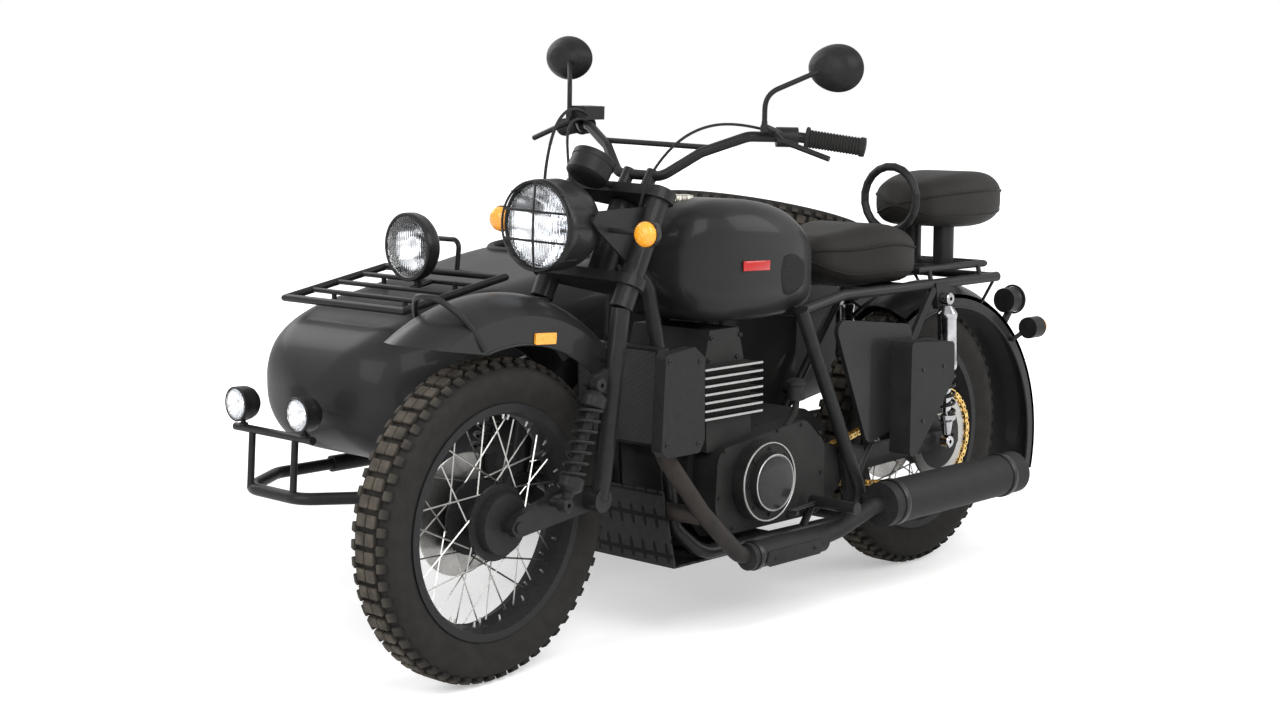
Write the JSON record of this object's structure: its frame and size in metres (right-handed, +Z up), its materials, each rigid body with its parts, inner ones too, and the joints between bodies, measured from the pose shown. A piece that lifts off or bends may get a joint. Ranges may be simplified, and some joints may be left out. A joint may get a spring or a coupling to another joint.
{
  "type": "sidecar motorcycle",
  "caption": "Motorcycle with a sidecar on its right, leading-link fork, laced wheels, spare wheel on the sidecar's trunk lid, racks, wheels that turn, steering and an opening trunk.",
  "frame": {"origin": "middle of the machine's box, on the ground", "axes": "+X forward, +Y to the rider's left, +Z up"},
  "size_m": [2.2776, 1.6639, 1.3205],
  "materials": {
    "tyre_rubber": "matt",
    "rim_black": "satin black with bright spokes",
    "frame_black": "satin",
    "body_black": "matt black lacquer",
    "engine_black": "matt, fins bright at their edges",
    "leather_black": "matt",
    "exhaust_grey": "matt heatproof paint",
    "shock_chrome": "polished",
    "chain_gold": "bright",
    "arm_black": "satin",
    "lamp_black": "satin shell with a clear lens",
    "grip_rubber": "matt",
    "plastic_black": "matt",
    "signal_amber": "clear amber"
  },
  "bodies": {
    "chassis": {"main_frame": "frame_black", "engine": "engine_black", "radiator": "exhaust_grey", "fuel_tank": "body_black", "rider_seat": "leather_black", "pillion_seat": "leather_black", "grab_ring": "frame_black", "rear_rack": "frame_black", "rear_fender": "body_black", "side_panels": "body_black", "tool_box": "body_black", "tail_lamp": "lamp_black", "exhaust": "exhaust_grey", "foot_controls": "frame_black", "skid_plate": "frame_black", "rear_shocks": "shock_chrome", "swing_arm": "arm_black", "drive_chain": "chain_gold", "sidecar_body": "body_black", "sidecar_seat": "leather_black", "sidecar_frame": "frame_black", "sidecar_fender": "body_black", "sidecar_arm": "arm_black", "nose_rack": "frame_black", "driving_lamps": "lamp_black", "nose_bumper": "frame_black"},
    "trunk": {"trunk_lid": "body_black", "spare_tyre": "tyre_rubber", "spare_rim": "rim_black"},
    "steering": {"fork": "arm_black", "front_links": "arm_black", "front_shocks": "shock_chrome", "front_fender": "body_black", "headlamp": "lamp_black", "handlebar": "frame_black", "hand_controls": "grip_rubber", "mirrors": "plastic_black", "front_signals": "signal_amber", "instrument": "plastic_black"},
    "front_wheel": {"front_tyre": "tyre_rubber", "front_rim": "rim_black"},
    "rear_wheel": {"rear_tyre": "tyre_rubber", "rear_rim": "rim_black"},
    "sidecar_wheel": {"sidecar_tyre": "tyre_rubber", "sidecar_rim": "rim_black"}
  },
  "joints": [
    {"name": "steering_turn", "type": "hinge", "parent": "chassis", "child": "steering", "pos_m": [0.87998, 0.403, 0], "axis": [-0.454, 0, 0.891], "range_deg": [-40, 30]},
    {"name": "front_wheel_spin", "type": "hinge", "parent": "steering", "child": "front_wheel", "pos_m": [0.80471, 0.41039, 0.33385], "axis": [-0.0777, 0.9962, -0.0396], "continuous": true},
    {"name": "rear_wheel_spin", "type": "hinge", "parent": "chassis", "child": "rear_wheel", "pos_m": [-0.645, 0.403, 0.334], "axis": [0, 1, 0], "continuous": true},
    {"name": "sidecar_wheel_spin", "type": "hinge", "parent": "chassis", "child": "sidecar_wheel", "pos_m": [-0.375, -0.747, 0.334], "axis": [0, 1, 0], "continuous": true},
    {"name": "trunk_hinge", "type": "hinge", "parent": "chassis", "child": "trunk", "pos_m": [-0.42514, -0.242, 0.82984], "axis": [0, 1, 0], "range_deg": [0, 60]}
  ]
}
